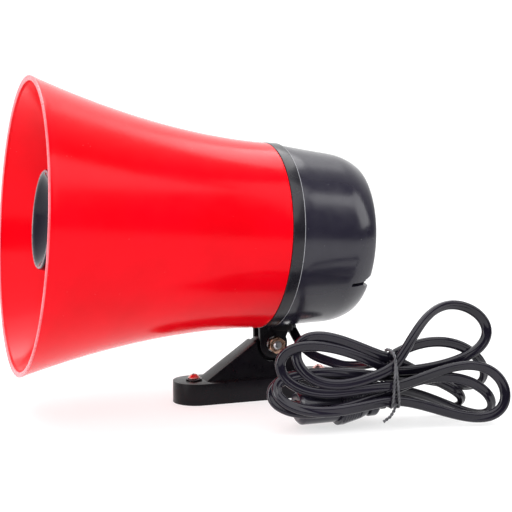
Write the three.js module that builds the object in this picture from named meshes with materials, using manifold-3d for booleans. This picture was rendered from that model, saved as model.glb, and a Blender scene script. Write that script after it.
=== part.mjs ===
// Wired vehicle loudhailer: a re-entrant horn on a tilting bracket, with its tied flex and 12 V plug.
// Millimetres, +Z up. The origin is the centre of the foot's underside; the mouth faces -X.
import * as THREE from "three";
import { mergeVertices } from "three/addons/utils/BufferGeometryUtils.js";
import Module from "manifold-3d";

const wasm = await Module();
wasm.setup();

// ---- Driving dimensions ----
const GAP = 0.3; // clearance between touching pieces
const MOUTH_R = 90;
const NECK_R = 59.7;
const BELL_LENGTH = 151.9;
const BELL_WALL = 2.5;
const NECK_X = 38.2; // end of the red bell, along the horn's own axis
const MOUTH_X = NECK_X - BELL_LENGTH;
const COLLAR_X = [38.5, 46];
const COLLAR_R = 59.9;
const COVER_X = [46.3, 99.1];
const COVER_WALL = 2.5;
const HORN_ORIGIN = [-38, 0, 107.8];
const HORN_PITCH = THREE.MathUtils.degToRad(3.72); // mouth up
const TUBE_R = [9, 11]; // tone tube bore and outside at the driver
const SOUND_PATH = { x: 42.2, pitch: THREE.MathUtils.degToRad(1.9) };
const HINGE = { x: 8.7, z: 35 };
const HINGE_LOCAL = { x: 51.3, z: -69.6 }; // the same axis in the horn's own frame
const CHEEK_Y = [3.9, 7]; // clevis cheeks, from the middle plane
const BOLT_R = 3;
const HOLE_R = 3.3;
const FOOT = { length: 114, width: 30, height: 13.6, screwX: 43.5 };
const GLAND = { x: 64.7, y: 13.4, z: -55.9, length: 11, aim: [0.37, -0.75, -0.55] };
const PANEL_X = [93.5, 96];
const KNOB = { y: 0, z: -12, r: 11, length: 9.5 };
const BUTTONS = [
  { name: "play_button", y: -17, z: 17 },
  { name: "record_button", y: 17, z: 17 },
];
const BUTTON_R = 6;
const FLEX = { width: 6.2, thickness: 3.9 };
const PLUG = { y: -88, z: 12.8 };
const HANK = { x: 43, y: -106, yaw: -0.1263, back: 14, front: 8, waistFront: 5.2 };

// ---- Materials ----
const material = (color, roughness, metalness = 0) =>
  new THREE.MeshStandardMaterial({ color, roughness, metalness });
const RED = material(0xd8101c, 0.22);
const BLACK = material(0x1c1c20, 0.28);
const MATTE = material(0x17151a, 0.6);
const RUBBER = material(0x202024, 0.5);
const STEEL = material(0xb8babd, 0.3, 1);
const COPPER = material(0xb0764a, 0.35, 1);
const FERRITE = material(0x3a3a3d, 0.7);
const BOARD = material(0x1d5a34, 0.5);
const WIRE_RED = material(0xb01c1c, 0.45);
const AMBER = material(0xc8a060, 0.4);

// ---- Solids ----
const group = new THREE.Group();
const horn = new THREE.Group();
horn.position.set(...HORN_ORIGIN);
horn.rotation.y = HORN_PITCH;
group.add(horn);
// The tone tube and the cup on it point up a little more than the bell, from where the tube leaves the neck.
const soundPath = new THREE.Group();
soundPath.position.x = SOUND_PATH.x;
soundPath.rotation.y = SOUND_PATH.pitch;
horn.add(soundPath);

// A closed three.js geometry as a manifold solid.
function solid(geometry) {
  const bare = geometry.clone();
  bare.deleteAttribute("normal");
  bare.deleteAttribute("uv");
  const merged = mergeVertices(bare, 1e-4);
  return new wasm.Manifold(
    new wasm.Mesh({
      numProp: 3,
      vertProperties: merged.attributes.position.array,
      triVerts: new Uint32Array(merged.index.array),
    }),
  );
}

// A manifold solid as a flat-shaded three.js geometry.
function geometryOf(body) {
  const mesh = body.getMesh();
  const geometry = new THREE.BufferGeometry();
  geometry.setAttribute("position", new THREE.BufferAttribute(mesh.vertProperties, 3));
  geometry.setIndex(new THREE.BufferAttribute(mesh.triVerts, 1));
  geometry.computeVertexNormals();
  return geometry;
}

function add(name, shape, look, parent = group) {
  const geometry = shape.isBufferGeometry ? shape : geometryOf(shape);
  const mesh = new THREE.Mesh(geometry, look);
  mesh.name = name;
  parent.add(mesh);
  return mesh;
}

// A body of revolution about X from [x, radius] pairs; an open profile starts and ends on the axis.
function turned(profile, segments = 40, closed = true) {
  const points = profile.map(([x, r]) => new THREE.Vector2(r, x));
  if (closed) points.push(points[0].clone());
  return new THREE.LatheGeometry(points, segments).rotateZ(-Math.PI / 2);
}

// A plain disc or ring about X.
function ring(x0, x1, inner, outer, segments = 32) {
  if (inner === 0) return turned([[x0, 0], [x0, outer], [x1, outer], [x1, 0]], segments, false);
  return turned([[x0, inner], [x0, outer], [x1, outer], [x1, inner]], segments);
}

function cylinderX(x0, x1, r, y, z, segments = 20) {
  return ring(x0, x1, 0, r, segments).translate(0, y, z);
}

function cylinderY(y0, y1, r, x, z, segments = 24) {
  const length = y1 - y0;
  return new THREE.CylinderGeometry(r, r, length, segments).translate(x, y0 + length / 2, z);
}

function cylinderZ(z0, z1, r, x, y, segments = 20) {
  const length = z1 - z0;
  return new THREE.CylinderGeometry(r, r, length, segments)
    .rotateX(Math.PI / 2)
    .translate(x, y, z0 + length / 2);
}

function box(low, high) {
  const size = high.map((h, i) => h - low[i]);
  return new THREE.BoxGeometry(...size).translate(...low.map((l, i) => l + size[i] / 2));
}

// An outline drawn in X and Z, extruded from y0 to y1.
function plateXZ(shape, y0, y1, curveSegments = 10) {
  const options = { depth: y1 - y0, bevelEnabled: false, curveSegments };
  return new THREE.ExtrudeGeometry(shape, options).rotateX(Math.PI / 2).translate(0, y1, 0);
}

function outline(points) {
  return new THREE.Shape(points.map(([x, z]) => new THREE.Vector2(x, z)));
}

// A bar of the given section swept along hand-placed points.
function swept(section, points, steps) {
  const path = new THREE.CatmullRomCurve3(points.map((p) => new THREE.Vector3(...p)));
  return new THREE.ExtrudeGeometry(section, { extrudePath: path, steps, bevelEnabled: false });
}

function roundSection(r, sides) {
  const corner = (i) => (i * 2 * Math.PI) / sides;
  return outline([...Array(sides).keys()].map((i) => [r * Math.cos(corner(i)), r * Math.sin(corner(i))]));
}

// The flat twin flex's section, eight sided.
function flexSection() {
  const w = FLEX.width / 2;
  const t = FLEX.thickness / 2;
  const c = t * 0.55;
  const half = [[t, -w + c], [t, w - c], [t - c, w], [c - t, w]];
  return outline([...half, ...half.map(([x, y]) => [-x, -y])]);
}

// ---- Horn: bell and sound path ----
const bellRadius = (behindMouth) =>
  NECK_R + (MOUTH_R - NECK_R) * (1 - behindMouth / BELL_LENGTH) ** 1.8;

function bell() {
  const steps = 11;
  const stations = [...Array(steps + 1).keys()].map((i) => BELL_LENGTH * (i / steps) ** 1.3);
  const outside = stations.map((d) => [MOUTH_X + d, bellRadius(d)]);
  const inside = stations.map((d) => [MOUTH_X + d, bellRadius(d) - BELL_WALL]);
  const spigotR = NECK_R - 2.1;
  const spigot = [[NECK_X, spigotR], [44, spigotR], [44, spigotR - 2.2], [NECK_X - 6, spigotR - 2.2]];
  add("bell", turned([...outside, ...spigot, ...inside.slice(0, -1).reverse()]), RED, horn);
}

function neckCollar() {
  const [x0, x1] = COLLAR_X;
  const bore = NECK_R - 2.1 + GAP;
  const profile = [[x0, COLLAR_R], [x1, COLLAR_R], [x1, 47], [44.3, 47], [44.3, bore], [x0, bore]];
  add("neck_collar", turned(profile), BLACK, horn);
}

// The closed cup in the mouth that turns the sound back on itself.
function reflexCone() {
  const wall = 2.2;
  const outside = [[-102.5, 29], [-101.5, 30.2], [-88, 31.5], [-60, 35], [-30, 39], [0, 43.5], [6, 44.5]];
  const inside = outside.slice(2).map(([x, r]) => [x + 0.6, r - wall]).reverse();
  const dish = [[-91, 0], [-91.6, 9], [-93.6, 17], [-97, 23.5], [-101.6, 27.6]];
  const back = [[-88.6, 22], [-88.6, 0]];
  const cup = turned([...dish, ...outside, ...inside, ...back], 36, false);
  add("reflex_cone", cup.translate(-SOUND_PATH.x, 0, 0), BLACK, soundPath);
}

function toneTube() {
  const [bore, outer] = TUBE_R;
  const profile = [[55.7, outer], [-10, outer], [-50, outer + 1.5], [-72, outer + 5]];
  const back = [[-72, bore + 5.2], [-50, bore + 1.6], [-10, bore], [55.7, bore]];
  const tube = turned([...profile.reverse(), ...back.reverse()], 24);
  add("tone_tube", tube.translate(-SOUND_PATH.x, 0, 0), BLACK, soundPath);
}

function coneStruts() {
  const count = 3;
  for (let i = 0; i < count; i++) {
    const web = outline([[-44, 13.1], [-44, 34.2], [-12, 38.4], [-12, 11.6]]);
    const strut = plateXZ(web, -1, 1).rotateX((i * 2 * Math.PI) / count);
    add(`cone_strut_${i + 1}`, strut.translate(-SOUND_PATH.x, 0, 0), BLACK, soundPath);
  }
}

// The trough at the neck that turns the sound forward again, into the bell.
function neckReflector() {
  const middle = { x: 43, r: 28.5, depth: 10, half: 13.2 };
  const bend = (i) => Math.PI * (i / 8);
  const arc = (extra) =>
    [...Array(9).keys()].map((i) => [
      middle.x + (middle.depth + extra) * Math.sin(bend(i)),
      middle.r - (middle.half + extra) * Math.cos(bend(i)),
    ]);
  const face = [...arc(0), [42, 46], [41.8, 55]];
  const back = [[44, 55], [44, 46], ...arc(1.9).reverse()];
  const hub = [[43, TUBE_R[1] + GAP], [41.5, TUBE_R[1] + GAP], [41.5, 15.3]];
  add("neck_reflector", turned([...face, ...back, ...hub], 36), BLACK, horn);
}

// ---- Horn: driver ----
function driver() {
  const flange = [[46.3, 44], [46.3, 55], [48.8, 55], [48.8, 46.5]];
  const frame = [...flange, [60, 46.5], [60, 9.4], [57, 9.4], [57, 44]];
  add("driver_frame", turned(frame, 32), BLACK, horn);
  const front = [[60.4, 0], [60.7, 10], [61.3, 18], [61.3, 24.5]];
  const dome = [...front, [61.8, 24.5], [61.8, 18], [61.2, 10], [60.9, 0]];
  add("driver_diaphragm", turned(dome, 28, false), AMBER, horn);
  add("voice_coil", ring(62.1, 68.5, 13.6, 14.3, 28), COPPER, horn);
  add("driver_top_plate", ring(62.1, 66.1, 15, 34, 32), STEEL, horn);
  add("driver_magnet", ring(66.4, 75.6, 17, 36, 32), FERRITE, horn);
  const yoke = [[79.6, 0], [79.6, 34], [75.9, 34], [75.9, 13], [62.6, 13], [62.6, 0]];
  add("driver_yoke", turned(yoke.reverse(), 32, false), STEEL, horn);
}

// ---- Horn: rear cover and controls ----
function lugOutline(grow = 0) {
  const { x, z } = HINGE_LOCAL;
  const shape = new THREE.Shape();
  shape.moveTo(x - 10.6, -57);
  shape.lineTo(x - 10.2, z + 3);
  shape.absarc(x, z, 9.5 + grow, Math.PI * 0.98, Math.PI * 2.16, false);
  shape.lineTo(x + 10, z + 9.5);
  shape.lineTo(x + 12, -57);
  return shape;
}

function rearCover() {
  const [x0, x1] = COVER_X;
  const side = [[x0, 59], [60.6, 57.4], [74.9, 56], [84, 55.2]];
  const outside = [...side, [89.3, 54], [93.5, 52.4], [96.6, 50.9], [x1, 49]];
  const seat = [[x1, 46.4], [93.2, 46.4], [93.2, 44], [90.5, 44]];
  const inside = [...seat, [87, 51], [80, 52.6], [x0, 59 - COVER_WALL]];
  let cover = solid(turned([...outside, ...inside], 48));
  const clevis = [[CHEEK_Y[0], CHEEK_Y[1]], [-CHEEK_Y[1], -CHEEK_Y[0]]];
  const core = solid(ring(x0 - 8, x1, 0, 56.8, 48));
  const collarSpace = solid(ring(30, x0, 0, COLLAR_R + GAP, 48));
  const bolt = solid(cylinderY(-10, 10, HOLE_R, HINGE_LOCAL.x, HINGE_LOCAL.z));
  for (const [y0, y1] of clevis) {
    const cheek = solid(plateXZ(lugOutline(), y0, y1)).subtract(core).subtract(collarSpace).subtract(bolt);
    cover = cover.add(cheek);
  }
  const saddle = solid(box([x0, -CHEEK_Y[1], -60.6], [HINGE_LOCAL.x + 11.4, CHEEK_Y[1], -57])).subtract(core);
  cover = cover.add(saddle).subtract(cableHole()).subtract(rimNotch());
  add("rear_cover", cover, BLACK, horn);
}

// The hole under the cable gland, in the underside just behind the clevis.
function cableHole() {
  return solid(cylinderZ(-62, -50, 2.6, GLAND.x, GLAND.y, 16));
}

// A funnel-shaped notch in the rear rim with a narrow slot ahead of it, on the lower near side.
function rimNotch() {
  const turn = THREE.MathUtils.degToRad(-62); // from straight down towards -Y
  const wedge = outline([[94.6, -2.2], [101, -5.4], [101, 5.4], [94.6, 2.2]]);
  const notch = new THREE.ExtrudeGeometry(wedge, { depth: 14, bevelEnabled: false });
  notch.translate(0, 0, -56).rotateX(turn);
  const slot = box([84.5, -1.2, -60], [95, 1.2, -50.5]).rotateX(turn);
  return solid(notch).add(solid(slot));
}

// A tapered rubber nose that sends the flex forward and down past the clevis.
function cableGland() {
  const profile = [[-3, 0], [-3, 4.8], [3, 4.6], [GLAND.length, 3.6], [GLAND.length, 0]];
  const nose = new THREE.LatheGeometry(
    profile.map(([along, r]) => new THREE.Vector2(r, along)),
    18,
  );
  const aim = new THREE.Vector3(...GLAND.aim).normalize();
  nose.applyQuaternion(new THREE.Quaternion().setFromUnitVectors(new THREE.Vector3(0, 1, 0), aim));
  nose.translate(GLAND.x, GLAND.y, GLAND.z);
  add("cable_gland", solid(nose).subtract(solid(ring(30, 110, 0, 58, 48))), RUBBER, horn);
}

function rearPanel() {
  let panel = solid(ring(...PANEL_X, 0, 46.1, 40));
  const holes = [cylinderX(90, 100, 3.3, KNOB.y, KNOB.z)];
  for (const { y, z } of BUTTONS) holes.push(cylinderX(90, 100, BUTTON_R + GAP, y, z));
  holes.push(cylinderX(90, 100, 1.6, 0, 26, 12));
  for (const { y, z } of panelScrews()) holes.push(cylinderX(90, 100, 1.9, y, z, 12));
  for (const hole of holes) panel = panel.subtract(solid(hole));
  add("rear_panel", panel, MATTE, horn);
}

function panelScrews() {
  const corner = [45, 135, 225, 315].map(THREE.MathUtils.degToRad);
  return corner.map((a) => ({ y: 40.5 * Math.cos(a), z: 40.5 * Math.sin(a) }));
}

function controls() {
  const face = PANEL_X[1];
  const end = face + KNOB.length;
  const cap = [[face + 0.4, 0], [face + 0.4, KNOB.r], [end - 1, KNOB.r - 0.6], [end, KNOB.r - 2], [end, 0]];
  const shaft = cylinderX(92.2, 97, 2.9, 0, 0, 16);
  const pointer = box([end - 1, -0.7, 3], [end + 0.5, 0.7, KNOB.r - 1.2]);
  const whole = solid(turned(cap, 28, false)).add(solid(shaft)).add(solid(pointer));
  add("volume_knob", whole.translate([0, KNOB.y, KNOB.z]), BLACK, horn);
  add("volume_potentiometer", cylinderX(86.6, 91.9, 8, KNOB.y, KNOB.z), STEEL, horn);
  for (const { name, y, z } of BUTTONS) {
    const skirt = [[91.2, 0], [91.2, 7.2], [92.9, 7.2], [92.9, BUTTON_R]];
    const profile = [...skirt, [98.6, BUTTON_R], [99.2, BUTTON_R - 1], [99.2, 0]];
    add(name, turned(profile, 24, false).translate(0, y, z), name === "play_button" ? RED : BLACK, horn);
    add(`${name}_switch`, box([86.6, y - 4, z - 4], [89.3, y + 4, z + 4]), STEEL, horn);
  }
  add("microphone", cylinderX(88, 93.2, 4.8, 0, 26, 16), STEEL, horn);
  add("circuit_board", box([84.7, -32, -26], [86.3, 32, 34]), BOARD, horn);
  panelScrews().forEach(({ y, z }, i) => {
    const screw = [[88, 0], [88, 1.4], [96.3, 1.4], [96.3, 3], [97.8, 2.2], [97.8, 0]];
    add(`panel_screw_${i + 1}`, turned(screw, 12, false).translate(0, y, z), STEEL, horn);
  });
}

function innerWires() {
  const rise = [[64.7, 13.4, -52.6], [65, 13.2, -50.4], [68, 11, -46], [76, 10, -42]];
  const lead = [...rise, [81.6, 8, -39], [82.2, 6, -31], [82.4, 3, -18]];
  add("inner_power_lead", swept(roundSection(1.8, 8), lead, 14), RUBBER, horn);
  for (const [name, y, look] of [["speaker_wire_red", 6, WIRE_RED], ["speaker_wire_black", -6, RUBBER]]) {
    const run = [[83.6, y, 31], [80.6, y, 37], [74, y, 41], [68, y, 41], [64, y, 38.5], [61.4, y, 37.5]];
    add(name, swept(roundSection(0.8, 8), run, 10), look, horn);
  }
}

// ---- Bracket, foot and hinge bolt ----
function stadium(length, width) {
  const r = width / 2;
  const shape = new THREE.Shape();
  shape.absarc(length / 2 - r, 0, r, -Math.PI / 2, Math.PI / 2, false);
  shape.absarc(r - length / 2, 0, r, Math.PI / 2, Math.PI * 1.5, false);
  return shape;
}

function bracket() {
  const options = { depth: FOOT.height, bevelEnabled: false, curveSegments: 12 };
  let body = solid(new THREE.ExtrudeGeometry(stadium(FOOT.length, FOOT.width), options));
  const top = FOOT.height - 1;
  const side = outline([[-38.8, top], [-4.2, 36.7], [8.7, 36.7], [18.6, 34.3], [33.5, top]]);
  const ramp = outline([[-38.8, top], [-4.2, 36.7], [-2, 34.6], [-2, 31], [-34.6, top]]);
  const knuckle = new THREE.Shape();
  knuckle.moveTo(-4.2, 36.7);
  knuckle.lineTo(-4.2, 24);
  knuckle.lineTo(14, 24);
  knuckle.absarc(HINGE.x, HINGE.z, 9, -0.2, Math.PI * 0.82, false);
  const sweep = solid(cylinderY(-12, 12, 11.8, HINGE.x, HINGE.z, 32));
  const outer = CHEEK_Y[1] + 0.5;
  for (const y0 of [-outer, CHEEK_Y[0] - 0.4]) {
    body = body.add(solid(plateXZ(side, y0, y0 + outer - CHEEK_Y[0] + 0.4)).subtract(sweep));
  }
  body = body.add(solid(plateXZ(ramp, -outer + 1, outer - 1)).subtract(sweep));
  body = body.add(solid(plateXZ(knuckle, -CHEEK_Y[0] + 0.35, CHEEK_Y[0] - 0.35)));
  body = body.subtract(solid(cylinderY(-12, 12, HOLE_R, HINGE.x, HINGE.z)));
  for (const x of [-FOOT.screwX, FOOT.screwX]) body = body.subtract(solid(cylinderZ(-1, 20, 2.4, x, 0)));
  add("mounting_bracket", body, MATTE);
}

function footScrews() {
  for (const [name, x] of [["left", -FOOT.screwX], ["right", FOOT.screwX]]) {
    const under = FOOT.height + GAP;
    const hole = solid(cylinderZ(0, 30, 2.4, x, 0));
    const washer = solid(cylinderZ(under, under + 0.9, 5.2, x, 0)).subtract(hole);
    add(`foot_washer_${name}`, washer, STEEL);
    const head = under + 1.2;
    const shank = [[1.5, 0], [1.5, 2], [head, 2]];
    const profile = [...shank, [head, 4], [head + 1.6, 3.7], [head + 2.6, 2.4], [head + 2.8, 0]];
    const screw = new THREE.LatheGeometry(
      profile.map(([z, r]) => new THREE.Vector2(r, z)),
      20,
    ).rotateX(Math.PI / 2);
    const drive = [box([x - 1.9, -0.45, head + 1.4], [x + 1.9, 0.45, head + 4]),
      box([x - 0.45, -1.9, head + 1.4], [x + 0.45, 1.9, head + 4])];
    let whole = solid(screw.translate(x, 0, 0));
    for (const cross of drive) whole = whole.subtract(solid(cross));
    add(`foot_screw_${name}`, whole, COPPER);
  }
}

function hexagonY(y0, y1, acrossFlats) {
  const r = acrossFlats / Math.sqrt(3);
  return cylinderY(y0, y1, r, HINGE.x, HINGE.z, 6);
}

function hingeBolt() {
  const face = CHEEK_Y[1] + GAP;
  const washerY = [[face, face + 1.2], [-face - 1.2, -face]];
  const hole = solid(cylinderY(-20, 20, BOLT_R + 0.2, HINGE.x, HINGE.z));
  const ends = ["far", "near"];
  washerY.forEach(([y0, y1], i) => {
    const disc = solid(cylinderY(y0, y1, 5.3, HINGE.x, HINGE.z)).subtract(hole);
    add(`hinge_washer_${ends[i]}`, disc, STEEL);
  });
  const headY = face + 1.5;
  const bolt = solid(cylinderY(-headY - 5.8, headY + 0.5, BOLT_R, HINGE.x, HINGE.z, 20));
  add("hinge_bolt", bolt.add(solid(hexagonY(headY, headY + 4, 10))), STEEL);
  add("hinge_nut", solid(hexagonY(-headY - 5, -headY, 10)).subtract(hole), COPPER);
}

// ---- Flex, hank and plug ----
// The free lead from the gland to the back of the hank.
const LEAD = [
  [26.6, 4.7, 41.1],
  [27, 1.1, 38.2],
  [27.4, -6, 33.8],
  [28, -14, 31],
  [29.3, -26, 28.8],
  [31.5, -42, 28.6],
  [33, -60, 29],
  [35, -76, 31.5],
  [37.4, -89.4, 34.8],
];
// From the plug's strain relief to the back of the hank.
const TAIL = [
  [69, PLUG.y, PLUG.z],
  [71.4, PLUG.y, 12.5],
  [76.4, -88.6, 9.2],
  [83.3, -90.6, 5.6],
  [89.4, -93.2, 5.6],
];

// The tied hank: two lobes standing on edge, narrow at the tie, in its own upright plane.
function hankOutline() {
  const shape = new THREE.Shape();
  shape.moveTo(-4, 13);
  shape.bezierCurveTo(-20, 12, -34, 6, -50, 5.5);
  shape.bezierCurveTo(-66, 5, -76, 12, -76, 22);
  shape.bezierCurveTo(-76, 42, -66, 57, -50, 57.5);
  shape.bezierCurveTo(-36, 58, -18, 48, -4, 44.5);
  shape.lineTo(4, 44.5);
  shape.bezierCurveTo(8, 60, 20, 73, 34, 73);
  shape.bezierCurveTo(50, 73, 62, 66, 62, 52);
  shape.bezierCurveTo(70, 42, 75, 32, 75, 20);
  shape.bezierCurveTo(75, 6, 62, 1, 50, 1);
  shape.bezierCurveTo(30, 1, 18, 12, 4, 13);
  return shape;
}

function place(geometry) {
  return geometry.rotateZ(HANK.yaw).translate(HANK.x, HANK.y, 0);
}

function hank() {
  const whole = solid(place(plateXZ(hankOutline(), -HANK.front, HANK.back, 6)));
  const plugSpace = solid(box([-14, -101.2, -1], [76, -60, 26.2]));
  const besideSpace = solid(place(box([-80, 3, -1], [2, 30, 26])));
  const tieSpace = solid(place(box([-2.6, -12, -1], [2.6, -HANK.waistFront, 60])));
  add("cord_hank", whole.subtract(plugSpace).subtract(besideSpace).subtract(tieSpace), RUBBER);
}

// The twisted wire that holds the hank, a flat loop over its front and top.
function tie() {
  const face = -HANK.waistFront - GAP;
  const bar = solid(place(box([-1.1, face - 1.2, 12.6], [1.1, face, 46])));
  const over = solid(place(box([-1.1, face - 1.2, 44.8], [1.1, HANK.back + 0.6, 46])));
  add("cord_tie", bar.add(over), STEEL);
}

function plug() {
  const along = (profile, segments) => turned(profile, segments, false).translate(0, PLUG.y, PLUG.z);
  const tip = [[-15.4, 0], [-15.4, 2.2], [-13.6, 3.6], [-6.4, 3.6], [-6.4, 5], [-5.2, 5], [-5.2, 0]];
  add("plug_tip", along(tip, 20), STEEL);
  const outside = [[-9.2, 4.2], [-9.2, 8.2], [-7, 10.5], [15.4, 10.5]];
  const bore = [[15.4, 6.6], [-4.6, 6.6], [-4.6, 5.6], [-7.2, 5.6], [-7.2, 4.2]];
  let barrel = solid(turned([...outside, ...bore], 28).translate(0, PLUG.y, PLUG.z));
  for (const side of [-1, 1]) {
    const window = box([-4.4, -2.2, 6], [9.2, 2.2, 14]).rotateX((side * Math.PI) / 2);
    barrel = barrel.subtract(solid(window.translate(0, PLUG.y, PLUG.z)));
    const name = side < 0 ? "plug_contact_left" : "plug_contact_right";
    const bow = [[-3.2, 7.6], [-1, 9.6], [3, 11], [6.4, 9.8], [8.4, 7.6], [8.4, 6.9], [-3.2, 6.9]];
    const spring = plateXZ(outline(bow), -1.6, 1.6);
    add(name, spring.rotateX((side * Math.PI) / 2).translate(0, PLUG.y, PLUG.z), STEEL);
  }
  add("plug_barrel", barrel, BLACK);
  add("plug_fuse", along([[-4.2, 0], [-4.2, 3.1], [13.8, 3.1], [13.8, 0]], 16), STEEL);
  const handle = [[15.7, 0], [15.7, 12.5], [19, 12.5], [30, 10], [35.4, 8], [35.4, 0]];
  add("plug_handle", along(handle, 28), BLACK);
  add("plug_collar", along([[35.7, 0], [35.7, 9], [40.4, 9], [43.2, 6], [43.2, 0]], 24), BLACK);
  const relief = [[43.5, 0]];
  const ribs = 4;
  for (let i = 0; i < ribs; i++) {
    const x = 43.5 + i * 6.2;
    const r = 5.6 - i * 0.45;
    relief.push([x, r], [x + 4, r], [x + 4, r - 1.4], [x + 6.2, r - 1.4]);
  }
  relief.push([68.3, 0]);
  add("plug_strain_relief", along(relief, 20), RUBBER);
}

bell();
neckCollar();
reflexCone();
toneTube();
coneStruts();
neckReflector();
driver();
rearCover();
cableGland();
rearPanel();
controls();
innerWires();
bracket();
footScrews();
hingeBolt();
add("cord_lead", swept(flexSection(), LEAD, 16), RUBBER);
hank();
tie();
plug();
add("cord_tail", swept(flexSection(), TAIL, 6), RUBBER);

export default group;
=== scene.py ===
"""Looks of the wired vehicle loudhailer.

It has a red bell, a black collar and cover, a tilting foot, and a tied flex with a 12 V plug. Shapes are
written in millimetres in the part's own frame (+Z up, mouth towards -X) and made in metres. A profile is a
list of [x, r]: the way along the axis and the radius there.
"""

import math

import bmesh
import bpy
import numpy as np
from mathutils import Matrix, Vector


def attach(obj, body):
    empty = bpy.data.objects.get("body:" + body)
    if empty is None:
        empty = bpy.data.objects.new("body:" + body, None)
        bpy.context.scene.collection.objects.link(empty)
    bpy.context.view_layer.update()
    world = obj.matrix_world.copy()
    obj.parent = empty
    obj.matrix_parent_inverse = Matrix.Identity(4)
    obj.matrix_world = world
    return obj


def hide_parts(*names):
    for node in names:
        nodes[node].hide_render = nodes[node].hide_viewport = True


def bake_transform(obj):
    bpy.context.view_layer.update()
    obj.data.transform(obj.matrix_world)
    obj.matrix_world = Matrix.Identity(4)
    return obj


MM = 0.001
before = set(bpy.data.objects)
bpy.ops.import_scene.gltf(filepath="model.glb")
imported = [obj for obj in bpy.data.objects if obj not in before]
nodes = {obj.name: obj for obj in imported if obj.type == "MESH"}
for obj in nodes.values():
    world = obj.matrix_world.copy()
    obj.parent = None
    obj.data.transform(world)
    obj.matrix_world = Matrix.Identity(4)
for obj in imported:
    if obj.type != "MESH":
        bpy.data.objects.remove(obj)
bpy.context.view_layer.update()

# ---- Horn frame ----
HORN = Matrix.Translation((-38, 0, 107.8)) @ Matrix.Rotation(math.radians(3.72), 4, "Y")
# The cup and its tube lean a little more than the bell, about a point on the horn's axis.
LEAN_AT = Matrix.Translation((42.2, 0, 0))
SOUND_PATH = HORN @ LEAN_AT @ Matrix.Rotation(math.radians(1.9), 4, "Y") @ LEAN_AT.inverted()
HINGE = (8.7, 35.0)  # x, z of the tilt axis
HINGE_LOCAL = (51.3, -69.6)  # the same axis in the horn's own frame
BOLT_HOLE = 3.3
PANEL_FACE = 96  # x of the rear panel's outer face, in the horn's frame
BUTTON_SIDE = 17  # the two buttons stand this far to each side of the panel's middle, and this far above it
KNOB_Z = -12
PLUG_AXIS = (-88, 12.8)  # y, z
PLUG = Matrix.Translation((0, *PLUG_AXIS))
PLUG_END = (69.0, *PLUG_AXIS)


# ---- Camera ----
LOOKS_AT = Vector((-1.1, 0, 91.9))
CAMERA_DISTANCE = 736.8
LENS, SENSOR = 80.1, 36


def make_camera():
    """The photograph's own view, fitted to the round edges of the horn."""
    forward = Vector((0.3486, 0.9315, -0.1045)).normalized()
    right = Vector((0.9366, -0.3505, 0)).normalized()
    up = right.cross(forward)
    place = LOOKS_AT - CAMERA_DISTANCE * forward
    data = bpy.data.cameras.new("camera")
    data.sensor_width = SENSOR
    data.lens = LENS
    data.clip_start = 0.01
    camera = bpy.data.objects.new("camera", data)
    turn = Matrix((right, up, -forward)).transposed().to_4x4()
    camera.matrix_world = Matrix.Translation(place * MM) @ turn
    bpy.context.scene.collection.objects.link(camera)
    bpy.context.scene.camera = camera


# ---- Procedural materials ----
def link(tree, out, into):
    tree.links.new(out, into)


def noise(tree, coords, scale, detail=4.0, roughness=0.55, stretch=None):
    """A noise texture in object coordinates; stretch scales its axes."""
    if stretch is not None:
        mapping = tree.nodes.new("ShaderNodeMapping")
        mapping.inputs["Scale"].default_value = stretch
        link(tree, coords, mapping.inputs["Vector"])
        coords = mapping.outputs["Vector"]
    texture = tree.nodes.new("ShaderNodeTexNoise")
    texture.inputs["Scale"].default_value = scale
    texture.inputs["Detail"].default_value = detail
    texture.inputs["Roughness"].default_value = roughness
    link(tree, coords, texture.inputs["Vector"])
    return texture.outputs["Fac"]


def spread(tree, value, low, high, to_low, to_high):
    ranged = tree.nodes.new("ShaderNodeMapRange")
    for name, number in (("From Min", low), ("From Max", high), ("To Min", to_low), ("To Max", to_high)):
        ranged.inputs[name].default_value = number
    link(tree, value, ranged.inputs["Value"])
    return ranged.outputs["Result"]


# The places of a mix node's colour sockets among its inputs and outputs.
COLOUR_A, COLOUR_B, COLOUR_OUT = 6, 7, 2


def blend_colour(tree, factor, one, two):
    mix = tree.nodes.new("ShaderNodeMix")
    mix.data_type = "RGBA"
    link(tree, factor, mix.inputs["Factor"])
    for socket, value in ((mix.inputs[COLOUR_A], one), (mix.inputs[COLOUR_B], two)):
        if isinstance(value, tuple):
            socket.default_value = (*value, 1)
        else:
            link(tree, value, socket)
    return mix.outputs[COLOUR_OUT]


def bump(tree, height, strength, distance, before=None):
    made = tree.nodes.new("ShaderNodeBump")
    made.inputs["Strength"].default_value = strength
    made.inputs["Distance"].default_value = distance
    link(tree, height, made.inputs["Height"])
    if before is not None:
        link(tree, before, made.inputs["Normal"])
    return made.outputs["Normal"]


def specks(tree, coords, scale, size):
    """Small scattered dots: 1 on a dot, 0 elsewhere."""
    cells = tree.nodes.new("ShaderNodeTexVoronoi")
    cells.inputs["Scale"].default_value = scale
    link(tree, coords, cells.inputs["Vector"])
    dots = spread(tree, cells.outputs["Distance"], size, size * 0.4, 0, 1)
    keep = spread(tree, noise(tree, coords, scale * 0.22, 1), 0.56, 0.62, 0, 1)
    both = tree.nodes.new("ShaderNodeMath")
    both.operation = "MULTIPLY"
    link(tree, dots, both.inputs[0])
    link(tree, keep, both.inputs[1])
    return both.outputs[0]


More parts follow.
